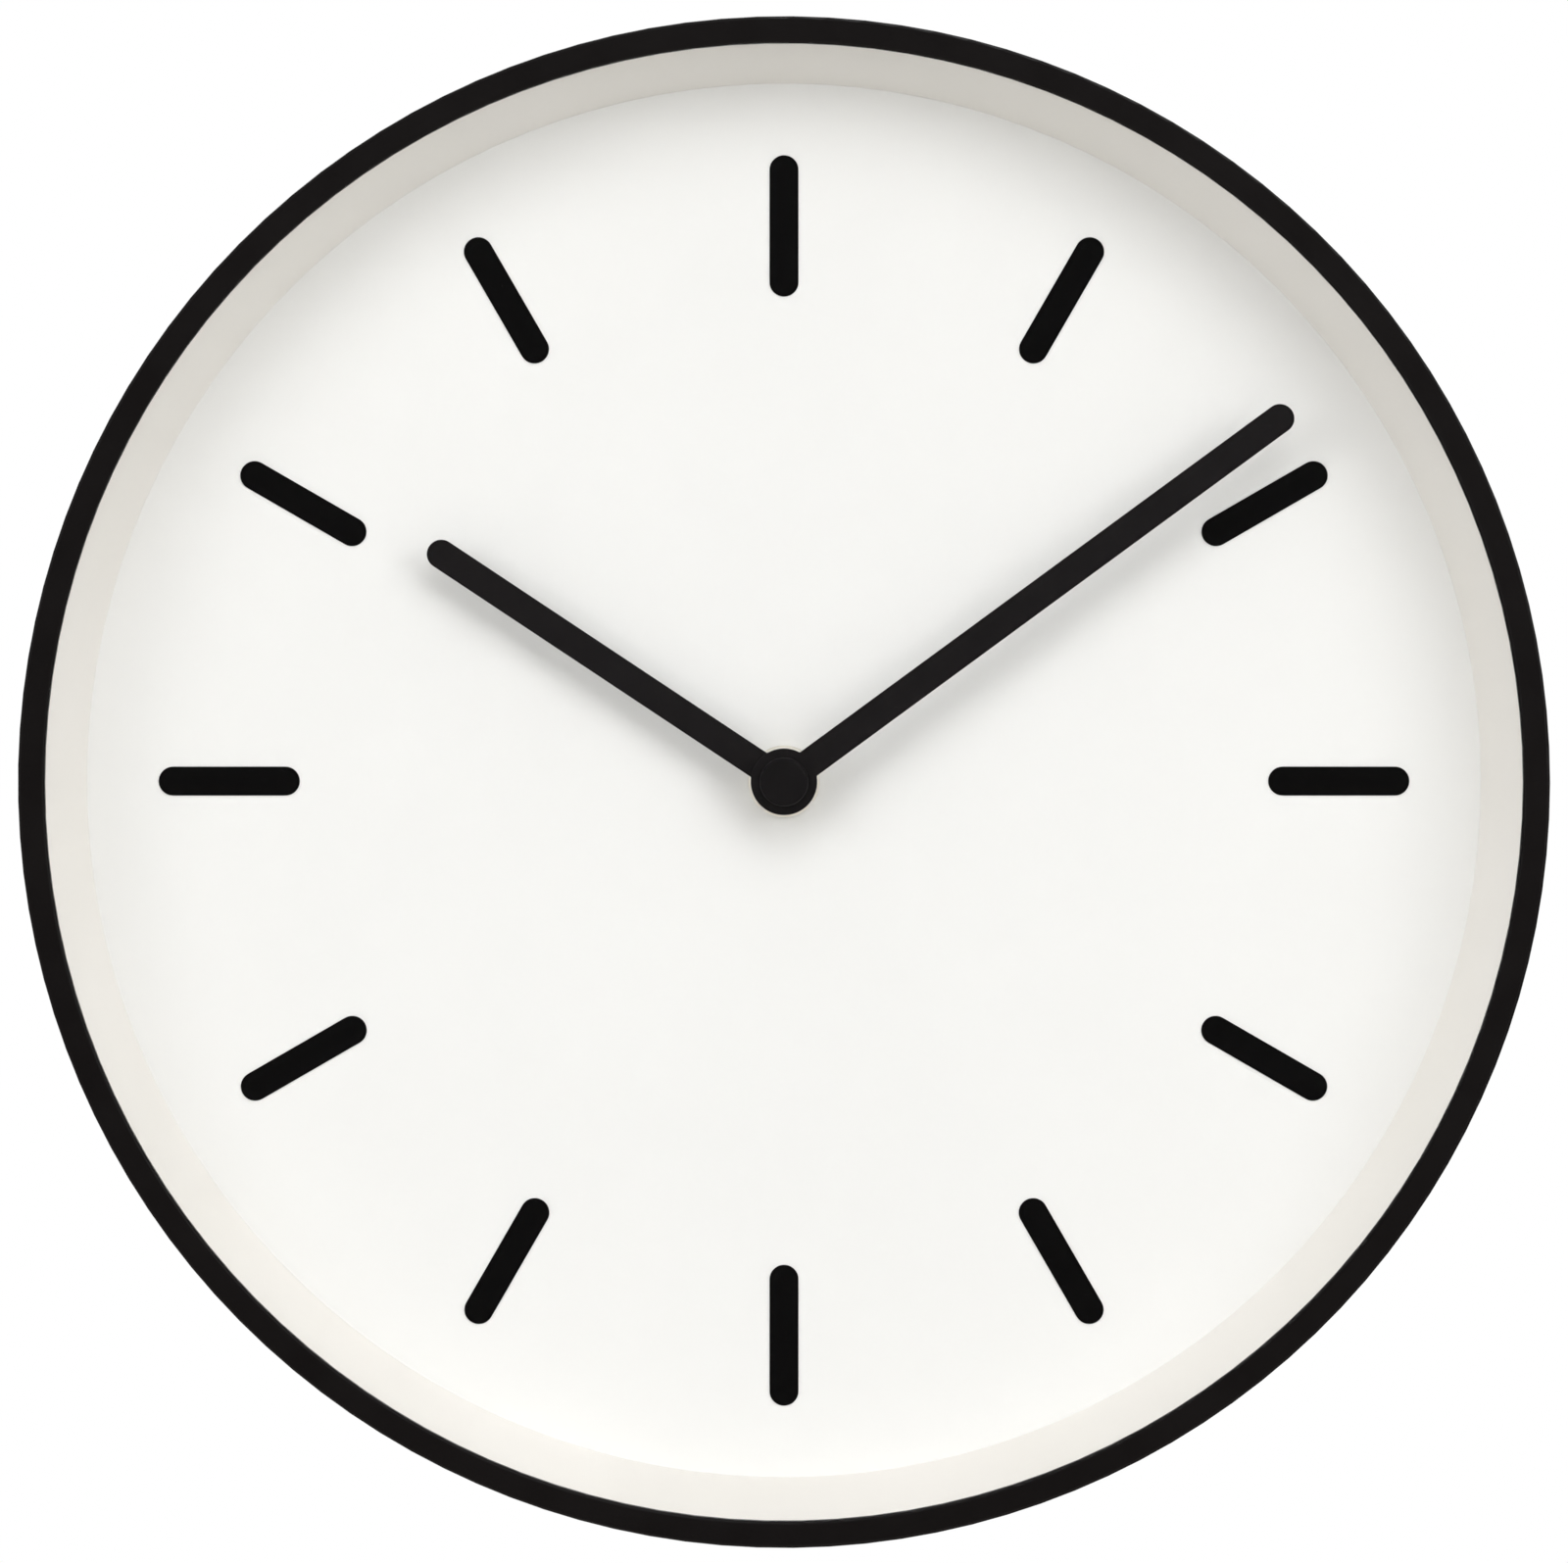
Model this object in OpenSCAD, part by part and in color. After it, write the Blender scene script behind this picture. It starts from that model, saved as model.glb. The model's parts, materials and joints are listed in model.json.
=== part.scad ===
// Round wall clock with a quartz movement, built up piece by piece.
// Origin: where the hands' axis meets the wall. +X is right, +Z is up, and the dial faces -Y.
// Each piece is drawn in a bench frame, x right, y up and z out from the wall, and bench() hangs it up.

/* [Case] */
// Outer diameter of the case and the bezel
case_d = 254; // [210:1:310]
// Depth from the wall to the front of the bezel
case_depth = 43; // [42:1:60]
// Wall thickness of the case
case_wall = 2.4; // [2:0.1:3]
// Depth of the separate bezel ring
bezel_depth = 7; // [6:0.5:9]
// Radial width of the bezel's front face
bezel_face = 4.45; // [4:0.05:9]
// Thickness of the bezel's front lip
lip_t = 1.8; // [1.2:0.1:2.5]
// Rounding of the bezel's front edges
edge_r = 0.5; // [0.2:0.1:0.8]
// Depth of the back cover's rim, from the wall inwards
cover_depth = 3; // [2.6:0.1:4]
// Thickness of the back cover's panel
cover_t = 1.8; // [1.4:0.1:2.4]
// Radial width of the rim that rests on the wall
land_w = 12.2; // [10:0.1:20]

/* [Glass and dial] */
// Thickness of the glass
glass_t = 2; // [1.5:0.1:3]
// Thickness of the seal under the glass
seal_t = 0.8; // [0.5:0.1:1.5]
// Depth from the bezel's front to the dial's face
dial_drop = 22; // [21:0.5:26]
// Thickness of the dial
dial_t = 1; // [0.8:0.1:1.5]
// How far the white dial ring leans in between the glass and the dial
ring_lean = 6; // [3:0.5:10]
// Length of an hour marker
marker_len = 23.7; // [12:0.1:30]
// Width of an hour marker
marker_w = 4.85; // [2:0.05:7]
// Gap from an hour marker's outer end to the dial ring
marker_gap = 12; // [4:0.5:20]
// Thickness of the printed marker
marker_t = 0.15; // [0.1:0.05:0.3]

/* [Hands] */
// Hour that the hands show
shown_hour = 10; // [0:1:11]
// Minute that the hands show
shown_minute = 8.96; // [0:0.01:59]
// How far the hour hand trails its true place, in degrees
hour_lag = 0.9; // [0:0.1:2]
// Width of both hands
hand_w = 4.85; // [3:0.05:6]
// Thickness of both hands
hand_t = 0.8; // [0.5:0.1:1.2]
// Gap from the hour hand's tip to the markers' inner ends
hour_tip_gap = 10.1; // [2:0.1:30]
// Diameter of the round boss in each hand
boss_d = 11.1; // [9.6:0.1:14]
// Diameter of the cap over the hands
cap_d = 8.1; // [7:0.1:9]

/* [Movement] */
// Width and height of the movement's housing
movement_w = 56; // [56:0.5:68]
// Depth of the movement's housing
movement_depth = 15.6; // [15.2:0.1:16]
// Wall thickness of the housing
housing_wall = 1.3; // [1:0.1:1.6]
// Outer diameter of the threaded bush
bush_d = 8; // [7.4:0.1:9.6]
// Diameter of the round nut on the bush
nut_d = 12; // [11:0.1:16]
// Depth of the nut
nut_t = 2.5; // [1.8:0.1:3]
// Diameter of the battery
battery_d = 14.2; // [13:0.1:14.3]
// Length of the battery with its terminal
battery_len = 50.5; // [42:0.1:50.5]
// Diameter of the setting knob
knob_d = 10; // [7:0.5:12]

/* [Hanger] */
// Diameter of the keyhole's large end
keyhole_d = 9; // [7:0.5:12]
// Width of the keyhole's slot
slot_w = 4.6; // [3.5:0.1:5]
// Height that the slot rises above the large end's centre
slot_rise = 12; // [9:0.5:16]
// Thickness of the steel hanger plate
hanger_t = 1; // [0.8:0.1:1.5]
// Number of back cover screws
screw_count = 6; // [3:1:12]

/* [Hidden] */
$fn = 96;

// Clearances
slip = 0.2;         // between fixed pieces that drop into one another
run = 0.05;         // radial play of everything that turns
end_play = 0.1;     // between an arbor's end and the bottom of its bearing
lap = 0.4;          // depth by which two shapes of one piece run into each other

// Case, from the wall outwards
case_r = case_d / 2;
case_bore_r = case_r - case_wall;
case_back = 0.6;                      // the case's rear edge stands clear of the wall
case_back_chamfer = 0.8;
split_z = case_depth - bezel_depth;
lip_r = case_r - bezel_face;
spigot_len = 3.3;
spigot_t = case_wall / 2 - 0.15;
spigot_r = case_bore_r + spigot_t;
seam_chamfer = 0.3;
bead_r = 0.3;                         // snap bead between the bezel and the spigot
bead_z = split_z + spigot_len / 2;
glass_r = case_bore_r - slip;
glass_front = case_depth - lip_t;
glass_back = glass_front - glass_t;
ring_top = glass_back - seal_t;
sight_margin = 0.45;                  // keeps the seal and ring top hidden behind the lip
ring_top_r = lip_r + sight_margin;
ring_foot_r = ring_top_r - ring_lean;
ring_wall = 1.6;
dial_face = case_depth - dial_drop;
dial_back = dial_face - dial_t;
dial_r = glass_r;
ledge_t = 2.2;
ledge_w = 6.6;
boss_r = 3.4;                         // screw bosses down the case wall
screw_r = 1.3;
screw_head_r = 2.6;
screw_head_t = 1.3;
screw_grip = 9;
cover_r = case_bore_r - 2 * slip;
land_r = cover_r - land_w;
screw_circle_r = case_bore_r - boss_r - 1;
window_gap = 1;                       // between the housing and the back cover's window
window_corner = 4;
rib_t = 1.2;
rib_places = [0.45, 0.6];             // the cover's two stiffening rings, as shares of the rim's radius

// Dial furniture
marker_count = 12;
marker_out = ring_foot_r - marker_gap;
marker_in = marker_out - marker_len;

// Movement, from its front face at the rubber washer back to the battery
washer_t = 1;
mov_front = dial_back - washer_t;
mov_back = mov_front - movement_depth;
rear_t = 1.4;
floor_z = mov_back + rear_t;
roof_z = mov_front - housing_wall;
mov_in = movement_w / 2 - housing_wall;      // half the inside width
bush_r = bush_d / 2;
bush_rise = 4;                        // how far the bush stands out of the dial
bush_top = dial_face + bush_rise;
nut_washer_t = 0.5;
nut_z = dial_face + nut_washer_t;
spanner_slot_w = 0.9;
spanner_slot_depth = 1;
spanner_slot_angle = -39;
bay_h = battery_d + 0.5;
bay_low = -mov_in;
bay_high = bay_low + bay_h;
rib_w = 0.8;
rib_top = bay_high + rib_w;
battery_y = bay_low + bay_h / 2;
battery_z = roof_z - slip - battery_d / 2;
contact_t = 0.4;
contact_w = 8;
contact_top = roof_z - 2.5;
housing_corner = 3;

// Wheel train: shaft places and tooth sizes
wheel_t = 0.6;
train_module = 0.2;
rotor_teeth = 10;
fifth_teeth = 60;
fifth_pinion_teeth = 12;
fourth_teeth = 60;
fourth_pinion_teeth = 8;
third_teeth = 64;
third_pinion_teeth = 8;
centre_teeth = 60;
cannon_teeth = 12;
minute_teeth = 36;
minute_pinion_teeth = 10;
hour_teeth = 40;
fifth_reach = (fourth_teeth + fifth_pinion_teeth) * train_module / 2;
rotor_reach = (fifth_teeth + rotor_teeth) * train_module / 2;
third_reach = 9.18;
third_module = 2 * third_reach / (third_teeth + fourth_pinion_teeth);
centre_module = 2 * third_reach / (centre_teeth + third_pinion_teeth);
minute_module = 0.4;
minute_reach = (cannon_teeth + minute_teeth) * minute_module / 2;
hour_module = 2 * minute_reach / (minute_pinion_teeth + hour_teeth);
third_dir = 60;
fifth_dir = 160;
rotor_dir = 150;
minute_dir = 340;
third_at = polar(third_reach, third_dir);
fifth_at = polar(fifth_reach, fifth_dir);
rotor_at = fifth_at + polar(rotor_reach, rotor_dir);
minute_at = polar(minute_reach, minute_dir);

// Wheel train: levels above the floor of the housing
rotor_z = floor_z + 1.1;
stator_z = floor_z + 1.8;
fifth_z = floor_z + 4.1;
fourth_z = floor_z + 5.2;
third_z = floor_z + 6.5;
plate_z = floor_z + 7;
centre_z = floor_z + 7.9;
cannon_z = floor_z + 8.8;
minute_z = floor_z + 9.3;
hour_z = floor_z + 10.7;
pinion_over = 0.5;                    // how far a pinion runs on past the wheel it drives
minute_pinion_over = 0.3;
cannon_h = 1.6;
hour_wheel_t = 0.8;

// Arbors, pipes and bearings
arbor_r = 0.4;
centre_arbor_r = 0.5;
setting_arbor_r = 0.8;
bearing_depth = 0.6;
minute_pipe_r = 1.75;
hour_pipe_r = 2.5;
hour_pipe_bore_r = minute_pipe_r + run;
bush_bore_r = hour_pipe_r + run;
rotor_hub_r = 0.8;
knob_t = 2.1;
knob_floor = 0.2;
knob_z = mov_back - 0.4 - knob_t;

// Motor and electrics
magnet_r = 3;
magnet_h = 2.4;
stator_t = 0.8;
stator_bore_r = 3.6;
stator_w = 4;
pole_r = 5.2;
coil_y = 20.3;
coil_z = floor_z + 4.3;
coil_x0 = -18;
coil_len = 20;
coil_flange_r = 3.7;
coil_flange_t = 0.8;
coil_tube_r = 1.9;
coil_wire_r = 3.3;
core_w = 2.2;
core_t = 1.6;
foot_len = 3;
elbow_y = 13;                         // where the stator's two arms turn up to the coil's ends
stator_left = [coil_x0 - foot_len / 2 - 1, coil_y];
stator_right = [coil_x0 + coil_len + foot_len / 2 + 0.8, coil_y];
small_screw_r = 0.6;
small_head_r = 1.3;
small_head_t = 0.6;
plate_t = 0.6;
pillar_r = 1.4;
pillar_hole = 2.4;
pillars = [[-21.5, 3.5], [-13, -6.5], [-4.9, 13.2]];
plate_arm_w = 3.6;
plate_screw_grip = 2.6;
housing_boss_r = 2;
housing_screw_grip = 6;
housing_screw_at = [for (x = [-1, 1], y = [rib_top + 5.2, mov_in - 2.8]) [x * (mov_in - 2.8), y]];
board_t = 1;
board_z = floor_z + 0.6;
board_low = [15, rib_top + 8.2];
board_high = [mov_in - 0.5, 20];
board_post_in = [3, 2];               // from the board's left corners to its two posts
chip_at = [20, 13];
crystal_at = [22, 3];
strip_t = 0.3;
strip_w = 1.8;
strip_z = board_z + board_t;
strip_lane = rib_top + 0.2;           // the minus strip runs along just above the battery bay's rib
strip_over = 2;                       // how far a strip laps onto the board

// Hands, above the bush
hour_hand_rise = 6;
hand_gap = 2.2;
hour_hand_z = dial_face + hour_hand_rise;
minute_hand_z = hour_hand_z + hand_t + hand_gap;
hour_reach = marker_in - hour_tip_gap;
hand_reach = marker_out;
collet_flange_t = 0.8;
collet_skirt_t = 0.7;
collet_wall = 1;
hour_neck_r = 3.2;
minute_neck_r = 2.6;
cap_t = 1.8;
pipe_end = 0.9;                       // how far the minute pipe runs up into the cap
minute_angle = 90 - 6 * shown_minute;
hour_angle = 90 - 30 * shown_hour - shown_minute / 2 + hour_lag;

// Hanger
keyhole_at = [0, land_r - 34];
hanger_size = [30, 34];
hanger_corner = 3;
hanger_at = [0, keyhole_at[1] + slot_rise / 2];
recess_size = [16, 30];
recess_corner = 5;
rivet_r = 1.5;
rivet_head_r = 2.6;
rivet_head_t = 0.8;
rivet_spread = [22, 26];

// Battery
sleeve_t = 0.15;
sleeve_inset = 0.5;
nub_len = 1.3;
nub_r = 2.75;
battery_end = mov_in - contact_t - run;        // the plus terminal, close against its contact

// Conical battery spring
spring_wire_r = 0.3;
spring_turns = 2.5;
spring_sides = 8;
spring_rings = 40;
spring_big_r = 4;
spring_small_r = 2.6;

function polar(r, a) = [r * cos(a), r * sin(a)];

// Six points of one tooth, thinned for backlash, which points at angle a
tooth_fill = 0.84;
function tooth(n, m, a) = let (
    r = n * m / 2,
    h = 90 / n * tooth_fill)
    [polar(r - 1.2 * m, a - 1.25 * h), polar(r, a - h), polar(r + 0.85 * m, a - 0.42 * h),
     polar(r + 0.85 * m, a + 0.42 * h), polar(r, a + h), polar(r - 1.2 * m, a + 1.25 * h)];

module gear(n, m, t, aim) {
    // aim is the angle at which a tooth points
    linear_extrude(t) polygon([for (i = [0:n - 1]) each tooth(n, m, aim + 360 * i / n)]);
}

// Angle that puts a gap, and not a tooth, towards a partner in direction dir
function gap_towards(dir, n) = dir + 180 / n;

// Stands a piece up from the bench: the bench's z becomes -Y, and its y becomes +Z
module bench() {
    rotate([90, 0, 0]) children();
}

module at(p, z = 0) {
    translate([p[0], p[1], z]) children();
}

module disc(r, h) {
    cylinder(r = r, h = h);
}

// Flat bar with round ends from p to q
module bar(p, q, w) {
    d = q - p;
    translate(p) rotate(atan2(d[1], d[0])) {
        translate([0, -w / 2]) square([norm(d), w]);
        circle(d = w);
        translate([norm(d), 0]) circle(d = w);
    }
}

// Rectangle about its centre with round corners
module round_rect(size, r) {
    square([size[0] - 2 * r, size[1]], center = true);
    square([size[0], size[1] - 2 * r], center = true);
    for (x = [-1, 1], y = [-1, 1])
        translate([x * (size[0] / 2 - r), y * (size[1] / 2 - r)]) circle(r);
}

module ring_of(count, r, start = 0) {
    for (i = [0:count - 1]) rotate(start + 360 * i / count) translate([r, 0]) children();
}

// Cuts count round holes of radius r at the given reach through a wheel of thickness t
module lightening_holes(count, reach, r, t) {
    ring_of(count, reach) translate([0, 0, -lap]) disc(r, t + 2 * lap);
}

// The hanger's four rivets
module at_rivets() {
    for (x = [-1, 1], y = [-1, 1])
        translate(hanger_at + [x * rivet_spread[0] / 2, y * rivet_spread[1] / 2]) children();
}

// Head at z = 0 and below, shank upwards, with a cross slot in the head
module pan_screw(shank_r, head_r, grip, head_t) {
    slot = [head_r * 1.24, head_r * 0.22, head_t * 0.55 + lap];
    difference() {
        union() {
            disc(shank_r, grip);
            translate([0, 0, -head_t]) disc(head_r, head_t);
        }
        for (a = [0, 90]) rotate(a) translate([-slot[0] / 2, -slot[1] / 2, -head_t - lap]) cube(slot);
    }
}

// ---- Case and cover -------------------------------------------------------

module case() {
    color("#191717") bench() difference() {
        union() {
            rotate_extrude($fn = 180) difference() {
                union() {
                    polygon([[case_bore_r, case_back], [case_r - case_back_chamfer, case_back],
                        [case_r, case_back + case_back_chamfer], [case_r, split_z - seam_chamfer],
                        [case_r - seam_chamfer, split_z], [spigot_r, split_z],
                        [spigot_r, split_z + spigot_len], [case_bore_r, split_z + spigot_len]]);
                    translate([case_bore_r - ledge_w, dial_back - ledge_t])
                        square([ledge_w + lap, ledge_t]);
                }
                translate([spigot_r, bead_z]) circle(bead_r + slip / 2, $fn = 24);
            }
            for (i = [0:screw_count - 1]) rotate(360 * i / screw_count) {
                translate([screw_circle_r, 0, cover_depth]) disc(boss_r, dial_back - lap - cover_depth);
                translate([screw_circle_r, -boss_r / 2, cover_depth])
                    cube([case_bore_r + lap - screw_circle_r, boss_r, dial_back - lap - cover_depth]);
            }
        }
        translate([0, 0, cover_depth - lap]) ring_of(screw_count, screw_circle_r)
            disc(screw_r, screw_grip + lap);
    }
}

module bezel() {
    color("#1b1919") bench() rotate_extrude($fn = 180) union() {
        difference() {
            translate([lip_r, split_z]) square([case_r - lip_r, bezel_depth]);
            translate([0, split_z - lap]) square([spigot_r + slip / 2, spigot_len + slip + lap]);
            square([case_bore_r, glass_front]);
            for (r = [lip_r, case_r - edge_r]) translate([r, case_depth - edge_r])
                square([edge_r, edge_r]);
            translate([case_r - seam_chamfer, split_z]) polygon([[0, 0], [lap + seam_chamfer, 0],
                [lap + seam_chamfer, lap + seam_chamfer], [seam_chamfer, seam_chamfer]]);
        }
        for (r = [lip_r + edge_r, case_r - edge_r]) translate([r, case_depth - edge_r])
            circle(edge_r, $fn = 32);
        intersection() {
            translate([spigot_r + slip / 2, bead_z]) circle(bead_r, $fn = 24);
            translate([spigot_r - bead_r, bead_z - bead_r]) square([2 * bead_r, 2 * bead_r]);
        }
    }
}

module back_cover() {
    window = movement_w + 2 * window_gap;
    color("#1e1e1f") bench() difference() {
        union() {
            translate([0, 0, cover_depth - cover_t]) cylinder(r = cover_r, h = cover_t, $fn = 180);
            rotate_extrude($fn = 180) translate([land_r, 0]) square([land_w, cover_depth]);
            for (share = rib_places) rotate_extrude($fn = 180)
                translate([land_r * share, cover_depth - cover_t - rib_t / 2])
                    square([rib_t, rib_t / 2 + lap]);
        }
        translate([0, 0, -lap]) linear_extrude(cover_depth + 2 * lap) {
            round_rect([window, window], window_corner);
            translate(hanger_at) round_rect(recess_size, recess_corner);
            at_rivets() circle(rivet_r);
        }
        translate([0, 0, -lap]) ring_of(screw_count, screw_circle_r) {
            disc(screw_r + slip, cover_depth + 2 * lap);
            disc(screw_head_r + slip, screw_head_t + slip + lap);
        }
    }
}

module back_cover_screws() {
    color("#4a4a4c") bench() translate([0, 0, screw_head_t + slip]) ring_of(screw_count, screw_circle_r)
        pan_screw(screw_r, screw_head_r, screw_grip, screw_head_t);
}

module hanger_plate() {
    color("#b9bcc0") bench() translate([0, 0, cover_depth]) linear_extrude(hanger_t) difference() {
        translate(hanger_at) round_rect(hanger_size, hanger_corner);
        translate(keyhole_at) circle(d = keyhole_d);
        bar(keyhole_at, keyhole_at + [0, slot_rise], slot_w);
        at_rivets() circle(rivet_r);
    }
}

module hanger_rivets() {
    panel_back = cover_depth - cover_t;
    color("#c4c6c8") bench() at_rivets() {
        translate([0, 0, panel_back - rivet_head_t]) disc(rivet_head_r, rivet_head_t);
        translate([0, 0, panel_back - lap]) disc(rivet_r, cover_t + hanger_t + 2 * lap);
        translate([0, 0, cover_depth + hanger_t]) disc(rivet_head_r, rivet_head_t);
    }
}

// ---- Glass, ring and dial -------------------------------------------------

module glass() {
    color("#dfeceb", 0.25) bench() translate([0, 0, glass_back])
        cylinder(r = glass_r, h = glass_t, $fn = 180);
}

module glass_seal() {
    color("#222222") bench() translate([0, 0, ring_top]) rotate_extrude($fn = 180)
        translate([ring_top_r, 0]) square([glass_r - ring_top_r, seal_t]);
}

module dial_ring() {
    rise = ring_top - dial_face;
    foot_w = 1.8;
    foot_out = ring_foot_r + foot_w;
    skirt_in = glass_r - ring_wall;
    color("#f2efe9") bench() rotate_extrude($fn = 180) polygon([[ring_foot_r, dial_face],
        [ring_top_r, ring_top], [glass_r, ring_top], [glass_r, dial_face], [skirt_in, dial_face],
        [skirt_in, dial_face + rise * (skirt_in - foot_out) / ring_lean], [foot_out, dial_face]]);
}

module dial() {
    color("#f5f6f5") bench() translate([0, 0, dial_back]) difference() {
        cylinder(r = dial_r, h = dial_t, $fn = 180);
        translate([0, 0, -lap]) disc(bush_r + slip / 2, dial_t + 2 * lap);
    }
}

module hour_markers() {
    inset = marker_w / 2;
    color("#070606") bench() translate([0, 0, dial_face]) linear_extrude(marker_t)
        for (i = [0:marker_count - 1]) rotate(360 * i / marker_count)
            bar([marker_in + inset, 0], [marker_out - inset, 0], marker_w);
}

module rubber_washer() {
    washer_w = 6;
    color("#262626") bench() translate([0, 0, mov_front]) difference() {
        disc(bush_r + washer_w, washer_t);
        translate([0, 0, -lap]) disc(bush_r + slip / 2, washer_t + 2 * lap);
    }
}

module nut_washer() {
    step = 0.4;
    color("#d8d5cc") bench() translate([0, 0, dial_face]) difference() {
        disc(nut_d / 2 - step, nut_washer_t);
        translate([0, 0, -lap]) disc(bush_r + slip / 2, nut_washer_t + 2 * lap);
    }
}

module movement_nut() {
    chamfer = 0.3;
    color("#e2dfd6") bench() translate([0, 0, nut_z]) difference() {
        rotate_extrude() polygon([[bush_r, 0], [nut_d / 2, 0], [nut_d / 2, nut_t - chamfer],
            [nut_d / 2 - chamfer, nut_t], [bush_r, nut_t]]);
        for (i = [0:3]) rotate(spanner_slot_angle + 90 * i)
            translate([nut_d / 2 - spanner_slot_depth, -spanner_slot_w / 2, -lap])
                cube([spanner_slot_depth + lap, spanner_slot_w, nut_t + 2 * lap]);
    }
}

// ---- Movement housing -----------------------------------------------------

module movement_front_housing() {
    depth = roof_z - floor_z;
    strip_gap = [4, rib_w + 2 * lap];
    minus_gap_h = 3.4;
    plus_gap_h = 5;
    color("#2b2b2d") bench() difference() {
        union() {
            difference() {
                translate([0, 0, floor_z]) linear_extrude(mov_front - floor_z)
                    round_rect([movement_w, movement_w], housing_corner);
                translate([-mov_in, -mov_in, floor_z - lap]) cube([2 * mov_in, 2 * mov_in, depth + lap]);
            }
            translate([-mov_in - lap, bay_high, floor_z]) cube([2 * (mov_in + lap), rib_w, depth + lap]);
            for (p = housing_screw_at) at(p, floor_z) disc(housing_boss_r, depth + lap);
            translate([0, 0, roof_z]) disc(bush_r, bush_top - roof_z);
        }
        translate([0, 0, roof_z - lap]) disc(bush_bore_r, bush_top - roof_z + 2 * lap);
        for (p = housing_screw_at) at(p, floor_z - lap) disc(small_screw_r, housing_screw_grip + lap);
        at(third_at, roof_z - lap) disc(arbor_r + run, bearing_depth + lap);
        at(minute_at, roof_z - lap) disc(setting_arbor_r + run, bearing_depth + lap);
        // ways through the rib for the two battery strips
        translate([-mov_in, bay_high - lap, floor_z - lap]) linear_extrude(minus_gap_h + lap)
            square(strip_gap);
        translate([mov_in - strip_gap[0], bay_high - lap, floor_z - lap]) linear_extrude(plus_gap_h + lap)
            square(strip_gap);
    }
}

module movement_rear_housing() {
    color("#2b2b2d") bench() difference() {
        union() {
            translate([0, 0, mov_back]) linear_extrude(rear_t) difference() {
                round_rect([movement_w, movement_w], housing_corner);
                translate([-mov_in, bay_low]) square([2 * mov_in, bay_h]);
            }
            for (p = pillars) at(p, floor_z - lap) disc(pillar_r, plate_z - floor_z + lap);
            for (p = [stator_left, stator_right]) at(p, floor_z - lap)
                disc(pillar_r, stator_z - floor_z + lap);
            for (y = [board_low[1] + board_post_in[1], board_high[1] - board_post_in[1]])
                at([board_low[0] + board_post_in[0], y], floor_z - lap)
                    disc(pillar_r, board_z - floor_z + lap);
        }
        for (p = [rotor_at, fifth_at, third_at]) at(p, floor_z - bearing_depth)
            disc(arbor_r + run, bearing_depth + lap);
        at([0, 0], floor_z - bearing_depth) disc(centre_arbor_r + run, bearing_depth + lap);
        at(minute_at, mov_back - lap) disc(setting_arbor_r + run, rear_t + 2 * lap);
        for (p = housing_screw_at) at(p, mov_back - lap) {
            disc(small_screw_r + slip / 2, rear_t + 2 * lap);
            disc(small_head_r + slip / 2, small_head_t + lap);
        }
        for (p = pillars) at(p, plate_z - pillar_hole) disc(small_screw_r, pillar_hole + lap);
        for (p = [stator_left, stator_right]) at(p, floor_z) disc(small_screw_r, stator_z - floor_z + lap);
    }
}

module housing_screws() {
    color("#9a9ca0") bench() for (p = housing_screw_at) at(p, mov_back + small_head_t)
        pan_screw(small_screw_r, small_head_r, housing_screw_grip, small_head_t);
}

// ---- Motor and electrics --------------------------------------------------

module stator() {
    notch_r = 0.4;
    notch_dir = 45;
    color("#8d9094") bench() translate([0, 0, stator_z]) linear_extrude(stator_t) difference() {
        union() {
            translate(rotor_at) circle(pole_r);
            for (foot = [stator_left, stator_right]) {
                bar(rotor_at, [foot[0], elbow_y], stator_w);
                bar([foot[0], elbow_y], foot, stator_w);
            }
        }
        translate(rotor_at) {
            circle(stator_bore_r);
            ring_of(2, stator_bore_r, notch_dir) circle(notch_r);
        }
        for (p = [stator_left, stator_right]) translate(p) circle(small_screw_r);
    }
}

module coil_core() {
    core_z = coil_z - core_t / 2;
    span = stator_right[0] - stator_left[0];
    color("#8d9094") bench() difference() {
        translate([stator_left[0], coil_y, 0]) {
            translate([0, -core_w / 2, core_z]) cube([span, core_w, core_t]);
            for (x = [0, span]) translate([x - foot_len / 2, -foot_len / 2, stator_z + stator_t])
                cube([foot_len, foot_len, core_z + core_t - stator_z - stator_t]);
        }
        for (p = [stator_left, stator_right]) at(p, stator_z) disc(small_screw_r, coil_z);
    }
}

module coil_bobbin() {
    color("#e9e4d4") bench() translate([coil_x0, coil_y, coil_z]) rotate([90, 0, 90]) difference() {
        union() {
            disc(coil_tube_r, coil_len);
            for (x = [0, coil_len - coil_flange_t]) translate([0, 0, x]) disc(coil_flange_r, coil_flange_t);
        }
        translate([-core_w / 2, -core_t / 2, -lap]) cube([core_w, core_t, coil_len + 2 * lap]);
    }
}

module coil_winding() {
    inside = coil_len - 2 * coil_flange_t;
    color("#b3652d") bench() translate([coil_x0 + coil_flange_t, coil_y, coil_z]) rotate([90, 0, 90])
        difference() {
            disc(coil_wire_r, inside);
            translate([0, 0, -lap]) disc(coil_tube_r, inside + 2 * lap);
        }
}

module stator_screws() {
    head_z = coil_z + core_t / 2;
    color("#9a9ca0") bench() for (p = [stator_left, stator_right]) at(p, head_z) mirror([0, 0, 1])
        pan_screw(small_screw_r, small_head_r, head_z - floor_z - slip, small_head_t);
}

module circuit_board() {
    size = board_high - board_low;
    color("#1f5a36") bench() at(board_low, board_z) cube([size[0], size[1], board_t]);
}

module timing_chip() {
    dome_r = 4.2;
    dome_h = 1;
    color("#101010") bench() at(chip_at, board_z + board_t) rotate_extrude() intersection() {
        translate([0, dome_h - dome_r]) circle(dome_r);
        square([dome_r, dome_h]);
    }
}

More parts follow.
